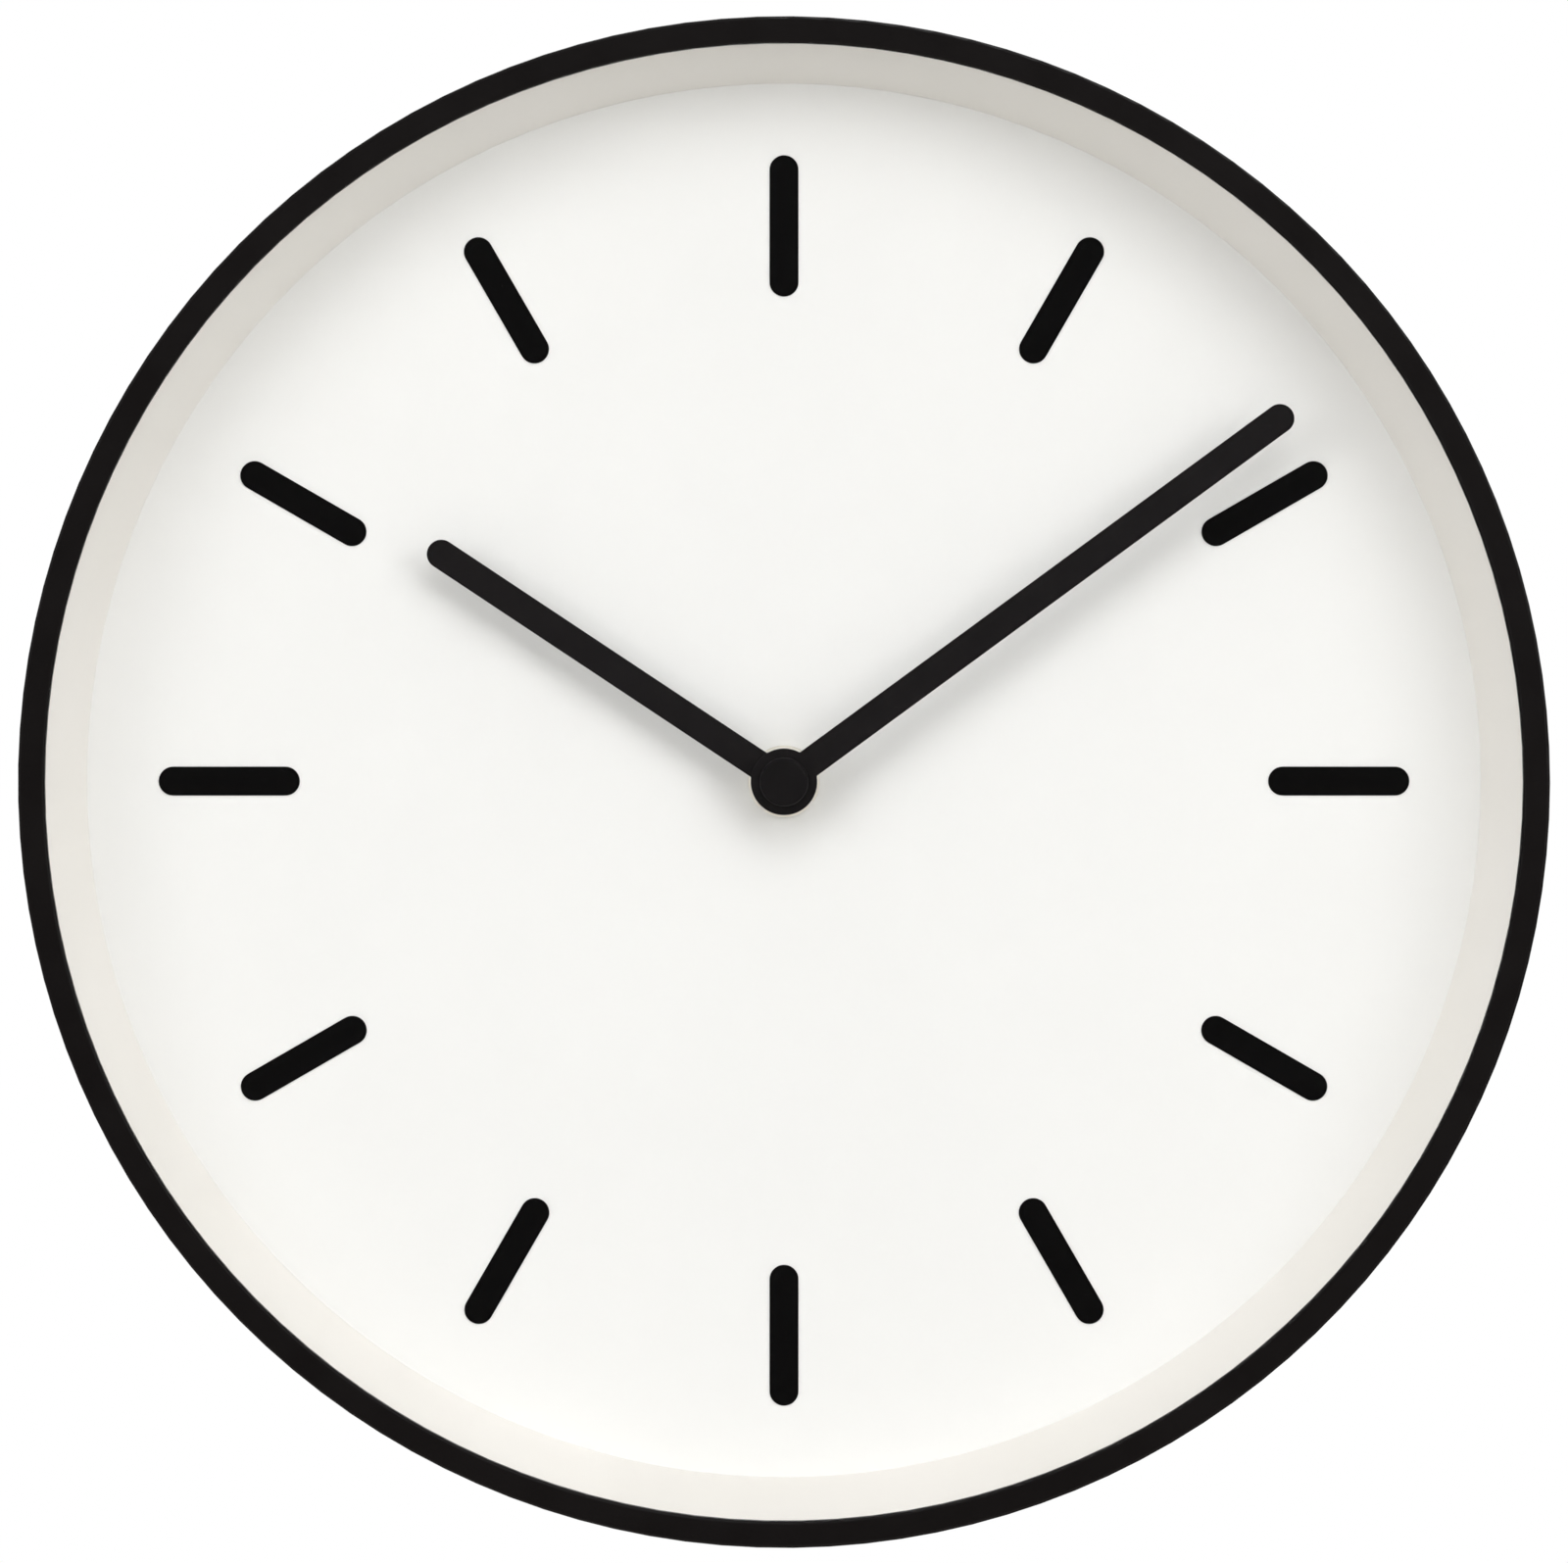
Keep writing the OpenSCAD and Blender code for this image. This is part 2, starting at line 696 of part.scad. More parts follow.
module quartz_crystal() {
    can_r = 1;
    can_len = 6;
    lead_len = 2.4;
    lead_r = 0.25;
    lead_at = [0.45, can_r - 0.3];
    color("#c9ccd1") bench() at(crystal_at, board_z + board_t + can_r) rotate([-90, 0, 0]) {
        disc(can_r, can_len);
        for (side = [-1, 1]) translate([side * lead_at[0], lead_at[1], -lead_len])
            disc(lead_r, lead_len + lap);
    }
}

// A train plate carries the front pivots of the rotor and the fifth wheel
module train_plate() {
    color("#3a3a3c") bench() translate([0, 0, plate_z]) linear_extrude(plate_t) difference() {
        union() {
            bar(pillars[0], rotor_at, plate_arm_w);
            bar(rotor_at, fifth_at, plate_arm_w);
            bar(fifth_at, pillars[1], plate_arm_w);
            bar(rotor_at, pillars[2], plate_arm_w);
        }
        for (p = [rotor_at, fifth_at]) translate(p) circle(arbor_r + run);
        for (p = pillars) translate(p) circle(small_screw_r);
    }
}

module train_plate_screws() {
    color("#9a9ca0") bench() for (p = pillars) at(p, plate_z + plate_t) mirror([0, 0, 1])
        pan_screw(small_screw_r, small_head_r, plate_screw_grip, small_head_t);
}

// ---- Wheel train ----------------------------------------------------------

module arbor(r, z0, z1) {
    translate([0, 0, z0]) disc(r, z1 - z0);
}

module rotor_magnet() {
    color("#3c3f44") bench() at(rotor_at, rotor_z) difference() {
        disc(magnet_r, magnet_h);
        translate([0, 0, -lap]) disc(rotor_hub_r, magnet_h + 2 * lap);
    }
}

module rotor_pinion() {
    top = fifth_z + wheel_t + pinion_over;
    color("#e8e8e4") bench() at(rotor_at) {
        translate([0, 0, rotor_z]) disc(rotor_hub_r, magnet_h);
        translate([0, 0, rotor_z + magnet_h]) gear(rotor_teeth, train_module, top - rotor_z - magnet_h,
            gap_towards(rotor_dir + 180, rotor_teeth));
        arbor(arbor_r, floor_z - bearing_depth + end_play, plate_z + plate_t);
    }
}

module fifth_wheel() {
    color("#e8e8e4") bench() at(fifth_at) {
        translate([0, 0, fifth_z]) gear(fifth_teeth, train_module, wheel_t, rotor_dir);
        translate([0, 0, fifth_z]) gear(fifth_pinion_teeth, train_module,
            fourth_z + wheel_t + pinion_over - fifth_z, fifth_dir + 180);
        arbor(arbor_r, floor_z - bearing_depth + end_play, plate_z + plate_t);
    }
}

module fourth_wheel() {
    color("#e8e8e4") bench() {
        translate([0, 0, fourth_z]) gear(fourth_teeth, train_module, wheel_t,
            gap_towards(fifth_dir, fourth_teeth));
        translate([0, 0, fourth_z]) gear(fourth_pinion_teeth, third_module,
            third_z + wheel_t + pinion_over - fourth_z, third_dir);
        arbor(centre_arbor_r, floor_z - bearing_depth + end_play, hour_z);
    }
}

module third_wheel() {
    color("#e8e8e4") bench() at(third_at) {
        translate([0, 0, third_z]) gear(third_teeth, third_module, wheel_t,
            gap_towards(third_dir + 180, third_teeth));
        translate([0, 0, third_z]) gear(third_pinion_teeth, centre_module,
            centre_z + wheel_t + pinion_over - third_z, third_dir + 180);
        arbor(arbor_r, floor_z - bearing_depth + end_play, roof_z + bearing_depth - end_play);
    }
}

module centre_wheel() {
    color("#e8e8e4") bench() translate([0, 0, centre_z]) difference() {
        gear(centre_teeth, centre_module, wheel_t, gap_towards(third_dir, centre_teeth));
        translate([0, 0, -lap]) disc(minute_pipe_r, wheel_t + 2 * lap);
        lightening_holes(4, 4.9, 1.4, wheel_t);
    }
}

module cannon_pinion() {
    top = minute_hand_z + hand_t + pipe_end;
    color("#cfa758") bench() difference() {
        union() {
            arbor(minute_pipe_r, centre_z, top);
            translate([0, 0, cannon_z]) gear(cannon_teeth, minute_module, cannon_h, minute_dir);
        }
        translate([0, 0, centre_z - lap]) disc(centre_arbor_r + run, hour_z - centre_z + lap + end_play);
    }
}

module minute_wheel() {
    color("#e8e8e4") bench() at(minute_at) {
        translate([0, 0, minute_z]) difference() {
            gear(minute_teeth, minute_module, wheel_t, gap_towards(minute_dir + 180, minute_teeth));
            lightening_holes(4, 4.4, 1.2, wheel_t);
        }
        translate([0, 0, minute_z]) gear(minute_pinion_teeth, hour_module,
            hour_z + hour_wheel_t + minute_pinion_over - minute_z, minute_dir + 180);
        arbor(setting_arbor_r, knob_z + knob_floor, roof_z + bearing_depth - end_play);
    }
}

module setting_knob() {
    grips = 18;
    grip_r = 0.5;
    grip_out = 0.15;
    color("#f0efe9") bench() at(minute_at, knob_z) difference() {
        disc(knob_d / 2, knob_t);
        lightening_holes(grips, knob_d / 2 + grip_out, grip_r, knob_t);
        translate([0, 0, knob_floor]) disc(setting_arbor_r, knob_t);
    }
}

module hour_wheel() {
    color("#e8e8e4") bench() difference() {
        union() {
            translate([0, 0, hour_z]) gear(hour_teeth, hour_module, hour_wheel_t,
                gap_towards(minute_dir, hour_teeth));
            arbor(hour_pipe_r, hour_z, hour_hand_z + hand_t);
        }
        translate([0, 0, hour_z - lap]) disc(hour_pipe_bore_r, hour_hand_z + hand_t - hour_z + 2 * lap);
        translate([0, 0, hour_z]) lightening_holes(4, 5, 1.3, hour_wheel_t);
    }
}

// ---- Hands ----------------------------------------------------------------

module hand_blade(reach, angle, hole_r) {
    linear_extrude(hand_t) difference() {
        union() {
            circle(d = boss_d);
            rotate(angle) bar([0, 0], [reach - hand_w / 2, 0], hand_w);
        }
        circle(hole_r);
    }
}

module hour_hand() {
    color("#1a1718") bench() translate([0, 0, hour_hand_z]) hand_blade(hour_reach, hour_angle, hour_neck_r);
}

module minute_hand() {
    color("#1a1718") bench() translate([0, 0, minute_hand_z])
        hand_blade(hand_reach, minute_angle, minute_neck_r);
}

module collet(neck_r, bore_r, z) {
    flange_r = boss_d / 2 - 1;
    skirt_r = bore_r + collet_wall;
    translate([0, 0, z]) rotate_extrude() polygon([[bore_r, -collet_flange_t - collet_skirt_t],
        [skirt_r, -collet_flange_t - collet_skirt_t], [skirt_r, -collet_flange_t],
        [flange_r, -collet_flange_t], [flange_r, 0], [neck_r, 0], [neck_r, hand_t], [bore_r, hand_t]]);
}

module hour_hand_collet() {
    color("#cfa758") bench() collet(hour_neck_r, hour_pipe_r, hour_hand_z);
}

module minute_hand_collet() {
    color("#cfa758") bench() collet(minute_neck_r, minute_pipe_r, minute_hand_z);
}

module hand_cap() {
    edge = 0.3;
    color("#1a1718") bench() translate([0, 0, minute_hand_z + hand_t]) rotate_extrude() polygon([
        [minute_pipe_r, 0], [cap_d / 2, 0], [cap_d / 2, cap_t - edge], [cap_d / 2 - edge, cap_t],
        [0, cap_t], [0, pipe_end], [minute_pipe_r, pipe_end]]);
}

// ---- Battery --------------------------------------------------------------

// The battery's axis runs along x, from its minus end towards its plus terminal
module along_battery() {
    translate([battery_end - battery_len, battery_y, battery_z]) rotate([90, 0, 90]) children();
}

module battery_can() {
    can = battery_len - nub_len;
    color("#c8cace") bench() along_battery() {
        disc(battery_d / 2 - sleeve_t, can);
        translate([0, 0, can - lap]) disc(nub_r, nub_len + lap);
    }
}

module battery_sleeve() {
    length = battery_len - nub_len - 2 * sleeve_inset;
    color("#3f6f86") bench() along_battery() translate([0, 0, sleeve_inset]) difference() {
        disc(battery_d / 2, length);
        translate([0, 0, -lap]) disc(battery_d / 2 - sleeve_t, length + 2 * lap);
    }
}

module battery_plus_contact() {
    tab_w = 1.7;
    tab_y = board_low[1] + strip_over - tab_w;
    color("#d3d5d8") bench() translate([mov_in - contact_t, 0, strip_z]) {
        translate([0, battery_y - contact_w / 2, 0]) cube([contact_t, contact_w, contact_top - strip_z]);
        translate([0, battery_y, 0]) cube([contact_t, tab_y + tab_w - battery_y, strip_w]);
        translate([-strip_over, tab_y, 0]) cube([strip_over + lap, tab_w, strip_t]);
    }
}

module battery_minus_contact() {
    tail_x = board_low[0] + 0.5;
    color("#d3d5d8") bench() translate([0, 0, strip_z]) {
        translate([-mov_in, battery_y - contact_w / 2, 0])
            cube([contact_t, contact_w, contact_top - strip_z]);
        translate([-mov_in, battery_y, 0]) cube([contact_t, strip_lane + strip_w - battery_y, strip_t]);
        translate([-mov_in, strip_lane, 0]) cube([tail_x + strip_w + mov_in, strip_w, strip_t]);
        translate([tail_x, strip_lane, 0]) cube([strip_w, board_low[1] + strip_over - strip_lane, strip_t]);
    }
}

// Conical coil spring as one swept tube, from u = 0 at its wide end to u = 1
function spring_point(u, length) = let (
    r = spring_big_r + (spring_small_r - spring_big_r) * u,
    a = 360 * spring_turns * u)
    [length * u, r * cos(a), r * sin(a)];

function spring_ring(u, length) = let (
    c = spring_point(u, length),
    a = 360 * spring_turns * u)
    [for (k = [0:spring_sides - 1]) let (b = 360 * k / spring_sides)
        c + spring_wire_r * [cos(b), sin(b) * cos(a), sin(b) * sin(a)]];

module battery_spring() {
    length = battery_end - battery_len + mov_in - contact_t - 2 * spring_wire_r - run;
    rings = [for (i = [0:spring_rings]) each spring_ring(i / spring_rings, length)];
    walls = [for (i = [0:spring_rings - 1], k = [0:spring_sides - 1]) let (
        n = (k + 1) % spring_sides,
        a = i * spring_sides)
        [a + k, a + n, a + spring_sides + n, a + spring_sides + k]];
    color("#d3d5d8") bench() translate([-mov_in + contact_t + spring_wire_r, battery_y, battery_z])
        polyhedron(rings, concat([[for (k = [spring_sides - 1:-1:0]) k]], walls,
            [[for (k = [0:spring_sides - 1]) spring_rings * spring_sides + k]]));
}

case();
bezel();
glass();
glass_seal();
dial_ring();
dial();
hour_markers();
rubber_washer();
nut_washer();
movement_nut();
movement_front_housing();
movement_rear_housing();
housing_screws();
stator();
coil_core();
coil_bobbin();
coil_winding();
stator_screws();
circuit_board();
timing_chip();
quartz_crystal();
train_plate();
train_plate_screws();
rotor_magnet();
rotor_pinion();
fifth_wheel();
fourth_wheel();
third_wheel();
centre_wheel();
cannon_pinion();
minute_wheel();
setting_knob();
hour_wheel();
hour_hand();
hour_hand_collet();
minute_hand();
minute_hand_collet();
hand_cap();
battery_can();
battery_sleeve();
battery_plus_contact();
battery_minus_contact();
battery_spring();
back_cover();
back_cover_screws();
hanger_plate();
hanger_rivets();
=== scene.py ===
import json
import math

import bmesh
import bpy
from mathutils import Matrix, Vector


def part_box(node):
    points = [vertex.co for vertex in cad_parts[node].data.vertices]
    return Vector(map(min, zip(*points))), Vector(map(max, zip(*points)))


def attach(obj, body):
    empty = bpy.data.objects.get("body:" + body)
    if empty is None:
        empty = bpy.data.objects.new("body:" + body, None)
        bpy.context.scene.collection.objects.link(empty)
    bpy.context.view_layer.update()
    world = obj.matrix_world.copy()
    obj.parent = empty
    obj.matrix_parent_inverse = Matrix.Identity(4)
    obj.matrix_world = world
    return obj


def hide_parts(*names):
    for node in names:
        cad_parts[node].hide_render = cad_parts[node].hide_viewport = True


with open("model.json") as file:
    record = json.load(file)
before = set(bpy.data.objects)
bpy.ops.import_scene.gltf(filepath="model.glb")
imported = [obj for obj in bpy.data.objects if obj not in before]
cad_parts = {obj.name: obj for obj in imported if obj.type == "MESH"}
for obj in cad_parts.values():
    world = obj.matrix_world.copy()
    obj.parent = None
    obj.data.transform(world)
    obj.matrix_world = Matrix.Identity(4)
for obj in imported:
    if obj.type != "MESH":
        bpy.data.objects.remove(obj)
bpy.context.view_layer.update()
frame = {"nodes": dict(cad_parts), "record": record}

MM = 0.001


# ---- Case ------------------------------------------------------------------
# A deep ring of moulded ABS with screw bosses down its inside, black through and through.
# Its outside comes from a spark-eroded mould, which leaves a fine, even, matt grain.

def linear(code):
    """An sRGB hex colour as linear red, green, blue and alpha."""
    parts = [int(code[i:i + 2], 16) / 255 for i in (1, 3, 5)]
    return (*[c / 12.92 if c <= 0.04045 else ((c + 0.055) / 1.055) ** 2.4 for c in parts], 1.0)


def add(tree, kind, inputs=None, **settings):
    """Adds a shader node. Each input is a value, or another node's output to link from."""
    node = tree.nodes.new("ShaderNode" + kind)
    for name, value in settings.items():
        setattr(node, name, value)
    for name, value in (inputs or {}).items():
        if isinstance(value, bpy.types.NodeSocket):
            tree.links.new(value, node.inputs[name])
        else:
            node.inputs[name].default_value = value
    return node


def new_material(name):
    """An empty material: the material, its node tree and its output's surface socket."""
    made = bpy.data.materials.new(name)
    made.use_nodes = True
    made.node_tree.nodes.clear()
    return made, made.node_tree, add(made.node_tree, "OutputMaterial").inputs["Surface"]


def noise(tree, size_mm, detail=4.0, stretch=(1, 1, 1)):
    """Noise whose blotches are about size_mm across, drawn out by stretch along each axis."""
    place = add(tree, "Mapping", {"Vector": add(tree, "TexCoord").outputs["Object"],
        "Scale": tuple(1 / (size_mm * MM * s) for s in stretch)})
    return add(tree, "TexNoise", {"Vector": place.outputs[0], "Scale": 1.0, "Detail": detail}).outputs["Fac"]


def between(tree, value, low, high, start=0.3, end=0.7):
    """Maps value from start..end to low..high, and holds it there."""
    return add(tree, "MapRange", {"Value": value, "From Min": start, "From Max": end,
        "To Min": low, "To Max": high}).outputs[0]


def shaded(tree, value, dark, light):
    """A colour from dark to light as value goes from 0.3 to 0.7."""
    mix = add(tree, "Mix", {"Factor": between(tree, value, 0.0, 1.0)}, data_type="RGBA")
    mix.inputs["A"].default_value = linear(dark)
    mix.inputs["B"].default_value = linear(light)
    return mix.outputs["Result"]


def raised(tree, height, depth_mm):
    return add(tree, "Bump", {"Height": height, "Distance": depth_mm * MM, "Strength": 1.0}).outputs[0]


def moulded_abs(name, dark, light, grain_mm, depth_mm, rough=0.52):
    """ABS from a spark-eroded mould: IOR 1.54, an even grain of pits, and roughness that drifts a little."""
    made, tree, surface = new_material(name)
    skin = add(tree, "BsdfPrincipled", {"IOR": 1.54,
        "Base Color": shaded(tree, noise(tree, 30), dark, light),
        "Roughness": between(tree, noise(tree, 12), rough, rough + 0.08),
        "Normal": raised(tree, noise(tree, grain_mm, 3.0), depth_mm)})
    tree.links.new(skin.outputs[0], surface)
    return made


def finish(made, *nodes):
    """Puts one material on whole CAD pieces, whose shape is already right."""
    for node in nodes:
        mesh = frame["nodes"][node].data
        mesh.materials.clear()
        mesh.materials.append(made)


body_of = {node: body for body, nodes in frame["record"]["behaviour"]["bodies"].items() for node in nodes}


def stand_in(piece, made, *nodes):
    """Gives a piece its material and lets it stand for CAD nodes, on their body."""
    piece.data.materials.clear()
    piece.data.materials.append(made)
    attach(piece, body_of[nodes[0]])
    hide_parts(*nodes)


def mesh_piece(name, mesh, sharp=40):
    """Turns a bmesh into an object that shades smoothly up to the sharp angle, flat faces kept flat."""
    data = bpy.data.meshes.new(name)
    mesh.to_mesh(data)
    mesh.free()
    if "custom_normal" in data.attributes:
        data.attributes.remove(data.attributes["custom_normal"])
    data.shade_smooth()
    data.set_sharp_from_angle(angle=math.radians(sharp))
    piece = bpy.data.objects.new(name, data)
    bpy.context.scene.collection.objects.link(piece)
    weighted = piece.modifiers.new("flat faces", "WEIGHTED_NORMAL")
    weighted.keep_sharp = True
    return piece


same_spot = 0.001 * MM
flat_enough = math.radians(0.4)


def soften(made, radius_mm, *nodes, steps=2, corner=35):
    """Makes each CAD piece again with rounded edges, as a mould or a tumbling barrel leaves them."""
    for node in nodes:
        mesh = bmesh.new()
        mesh.from_mesh(frame["nodes"][node].data)
        bmesh.ops.remove_doubles(mesh, verts=mesh.verts, dist=same_spot)
        bmesh.ops.dissolve_limit(mesh, angle_limit=flat_enough, verts=mesh.verts, edges=mesh.edges)
        sharp = [edge for edge in mesh.edges
            if len(edge.link_faces) == 2 and edge.calc_face_angle() > math.radians(corner)]
        bmesh.ops.bevel(mesh, geom=sharp, offset=radius_mm * MM, segments=steps, profile=0.5,
            affect="EDGES", clamp_overlap=True)
        stand_in(mesh_piece(node + "_softened", mesh), made, node)


soften(moulded_abs("black_abs_case", "#110e0f", "#151213", 0.4, 0.03), 0.25, "case")


# ---- Glass, seal and bezel ---------------------------------------------------
# Float glass lies behind the bezel's lip on a thin foam seal. The bezel is moulded ABS with
# a satin black lacquer, which flows into a faint orange peel and rounds over at the lip.

def float_glass():
    """IOR 1.52, polished. Lamps shine straight through it, as they do through thin flat glass."""
    made, tree, surface = new_material("float_glass")
    pane = add(tree, "BsdfPrincipled", {"Base Color": linear("#ffffff"), "Roughness": 0.01, "IOR": 1.52,
        "Transmission Weight": 1.0})
    through = add(tree, "BsdfTransparent", {"Color": linear("#fdfdfd")})
    both = add(tree, "MixShader", {0: add(tree, "LightPath").outputs["Is Shadow Ray"], 1: pane.outputs[0],
        2: through.outputs[0]})
    tree.links.new(both.outputs[0], surface)
    return made


def satin_lacquer(name, dark, light, rough):
    """Lacquer, IOR 1.5, its sheen damped by a matting agent: orange peel over a fine grain."""
    made, tree, surface = new_material(name)
    peel = add(tree, "Math", {0: noise(tree, 1.5, 1.0), 1: between(tree, noise(tree, 0.3, 2.0), 0.0, 0.25)},
        operation="ADD").outputs[0]
    skin = add(tree, "BsdfPrincipled", {"IOR": 1.5, "Specular IOR Level": 0.15,
        "Base Color": shaded(tree, noise(tree, 18), dark, light),
        "Roughness": between(tree, noise(tree, 9), rough, rough + 0.06),
        "Normal": raised(tree, peel, 0.02)})
    tree.links.new(skin.outputs[0], surface)
    return made


def closed_foam(name, code):
    """Closed-cell foam or dull rubber: rough, with cells a third of a millimetre across."""
    made, tree, surface = new_material(name)
    skin = add(tree, "BsdfPrincipled", {"Base Color": linear(code), "Roughness": 0.85,
        "Normal": raised(tree, noise(tree, 0.33, 2.0), 0.05)})
    tree.links.new(skin.outputs[0], surface)
    return made


finish(float_glass(), "glass")
finish(closed_foam("black_foam_seal", "#1c1c1c"), "glass_seal")
finish(satin_lacquer("black_satin_lacquer", "#0b0707", "#0e0a0a", 0.38), "bezel")


# ---- Dial ring, dial and markers ---------------------------------------------
# The ring is moulded in a warm white ABS. The dial is aluminium sheet sprayed matt white, and
# its twelve bars are screen printed in a thick black ink that dries glossier than the paint.

def matt_enamel():
    """White enamel, IOR 1.5, sprayed dry: a fine nap half a millimetre across and no clear reflections."""
    made, tree, surface = new_material("white_matt_enamel")
    skin = add(tree, "BsdfPrincipled", {"IOR": 1.5,
        "Base Color": shaded(tree, noise(tree, 60, 2.0), "#f9f9f7", "#fbfbf9"),
        "Roughness": between(tree, noise(tree, 20), 0.62, 0.7),
        "Normal": raised(tree, noise(tree, 0.5, 3.0), 0.006)})
    tree.links.new(skin.outputs[0], surface)
    return made


def screen_ink():
    """Screen ink: nearly black, IOR 1.5, with the print mesh just showing every 0.4 mm."""
    made, tree, surface = new_material("black_screen_ink")
    skin = add(tree, "BsdfPrincipled", {"Base Color": linear("#030202"), "Roughness": 0.3,
        "Specular IOR Level": 0.1, "Normal": raised(tree, noise(tree, 0.4, 1.0), 0.004)})
    tree.links.new(skin.outputs[0], surface)
    return made


soften(moulded_abs("warm_white_abs", "#f4f1eb", "#f6f3ee", 0.4, 0.012, rough=0.58), 0.12, "dial_ring")
finish(matt_enamel(), "dial")
finish(screen_ink(), "hour_markers")


# ---- Movement housing ----------------------------------------------------------
# Two black ABS mouldings hold the train and the motor. The front one carries the threaded
# bush, which a rubber washer, a nickel-plated washer and a slotted round nut clamp to the dial.

def turned_metal(name, code, rough, groove_mm=0.12):
    """Metal turned on a lathe: fine rings about the clock's axis, which spread its highlights."""
    made, tree, surface = new_material(name)
    flat = add(tree, "VectorMath", {0: add(tree, "TexCoord").outputs["Object"], 1: (1, 0, 1)},
        operation="MULTIPLY").outputs[0]
    radius = add(tree, "VectorMath", {0: flat}, operation="LENGTH").outputs["Value"]
    rings = add(tree, "TexNoise", {"W": radius, "Scale": 1 / (groove_mm * MM), "Detail": 2.0},
        noise_dimensions="1D").outputs["Fac"]
    skin = add(tree, "BsdfPrincipled", {"Base Color": linear(code), "Metallic": 1.0,
        "Roughness": between(tree, rings, rough, rough + 0.12), "Normal": raised(tree, rings, 0.003)})
    tree.links.new(skin.outputs[0], surface)
    return made


def zinc_plate(name, dark, light, rough, patch_mm=2.5):
    """Zinc or nickel plate on steel: a soft crystalline mottle over the rolling lines of the sheet."""
    made, tree, surface = new_material(name)
    skin = add(tree, "BsdfPrincipled", {"Metallic": 1.0,
        "Base Color": shaded(tree, noise(tree, patch_mm, 5.0), dark, light),
        "Roughness": between(tree, noise(tree, patch_mm * 0.7), rough, rough + 0.14),
        "Normal": raised(tree, noise(tree, 0.15, 2.0, stretch=(20, 1, 1)), 0.003)})
    tree.links.new(skin.outputs[0], surface)
    return made


finish(closed_foam("black_rubber_washer", "#202020"), "rubber_washer")
nickel = turned_metal("turned_nickel_plate", "#ece8de", 0.42)
finish(nickel, "nut_washer")
soften(nickel, 0.12, "movement_nut")
housing_abs = moulded_abs("black_abs_housing", "#1d1d1e", "#232324", 0.3, 0.03, rough=0.48)
soften(housing_abs, 0.15, "movement_front_housing", "movement_rear_housing")
small_zinc = zinc_plate("zinc_plated_screws", "#8d8f93", "#b4b7bb", 0.28, patch_mm=0.8)
soften(small_zinc, 0.06, "housing_screws", "stator_screws", "train_plate_screws")


# ---- Motor ---------------------------------------------------------------------
# A stepping motor: a coil of enamelled copper wire on a nylon bobbin, a soft iron core and
# stator, and a small coated magnet pressed on the rotor's pinion.

def bare_iron():
    """Soft iron strip, bare and annealed: greyish, with faint scale 1 mm across and rolling lines."""
    return zinc_plate("annealed_iron", "#6f7073", "#8f9194", 0.38, patch_mm=1.0)


def moulded_resin(name, dark, light, rough):
    """Acetal or nylon, IOR 1.48: waxy, smooth, with a little light carried through its thin edges."""
    made, tree, surface = new_material(name)
    skin = add(tree, "BsdfPrincipled", {"IOR": 1.48, "Subsurface Weight": 0.15,
        "Subsurface Radius": (1.0, 0.9, 0.8), "Subsurface Scale": 0.4 * MM,
        "Base Color": shaded(tree, noise(tree, 4), dark, light),
        "Roughness": between(tree, noise(tree, 2), rough, rough + 0.08),
        "Normal": raised(tree, noise(tree, 0.3, 2.0), 0.004)})
    tree.links.new(skin.outputs[0], surface)
    return made


def enamelled_copper():
    """Copper under clear amber enamel: a metal with a thin glossy coat."""
    made, tree, surface = new_material("enamelled_copper_wire")
    skin = add(tree, "BsdfPrincipled", {"Metallic": 1.0, "Coat Weight": 0.6, "Coat Roughness": 0.15,
        "Base Color": shaded(tree, noise(tree, 1.2), "#a4501f", "#c8713a"),
        "Roughness": between(tree, noise(tree, 0.8), 0.3, 0.42)})
    tree.links.new(skin.outputs[0], surface)
    return made


def lathe(name, profile, low, high, axis, segments=96, hollow=False):
    """Revolves a profile about an axis, and closes it into a ring if it is hollow.

    The profile's points are (along, radius) as shares of the box from low to high: along the
    axis, and out to half the box's width.
    """
    middle = (low + high) / 2
    span = high - low
    across, up = [i for i in range(3) if i != axis]
    mesh = bmesh.new()
    rings = []
    for along, radius in profile:
        ring = []
        for k in range(segments if radius else 1):
            turn = 2 * math.pi * k / segments
            spot = Vector(middle)
            spot[axis] = low[axis] + along * span[axis]
            spot[across] += radius * span[across] / 2 * math.cos(turn)
            spot[up] += radius * span[across] / 2 * math.sin(turn)
            ring.append(mesh.verts.new(spot))
        rings.append(ring)
    for one, two in zip(rings, rings[1:] + (rings[:1] if hollow else [])):
        for k in range(segments):
            n = k + 1
            quad = [one[k % len(one)], one[n % len(one)], two[n % len(two)], two[k % len(two)]]
            mesh.faces.new(list(dict.fromkeys(quad)))
    bmesh.ops.recalc_face_normals(mesh, faces=mesh.faces)
    return mesh_piece(name, mesh)


def box_of(node):
    return [Vector(corner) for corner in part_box(node)]


iron = bare_iron()
finish(iron, "coil_core")
soften(iron, 0.08, "stator")
soften(moulded_resin("natural_nylon", "#e2dac4", "#ebe4d2", 0.42), 0.1, "coil_bobbin")

# The outer layer is drawn as 34 turns, coarser than the real hair-thin wire so that they show.
turns = 34
groove = 0.04
tube = 0.58
around_wire = (0, 0.2, 0.5, 0.8)
wound = [((i + share) / turns, 1 - groove * (1 - math.sin(math.pi * share)))
    for i in range(turns) for share in around_wire]
winding = lathe("coil_winding_turns", [*wound, (1, 1 - groove), (1, tube), (0, tube)],
    *box_of("coil_winding"), axis=0, segments=48, hollow=True)
stand_in(winding, enamelled_copper(), "coil_winding")


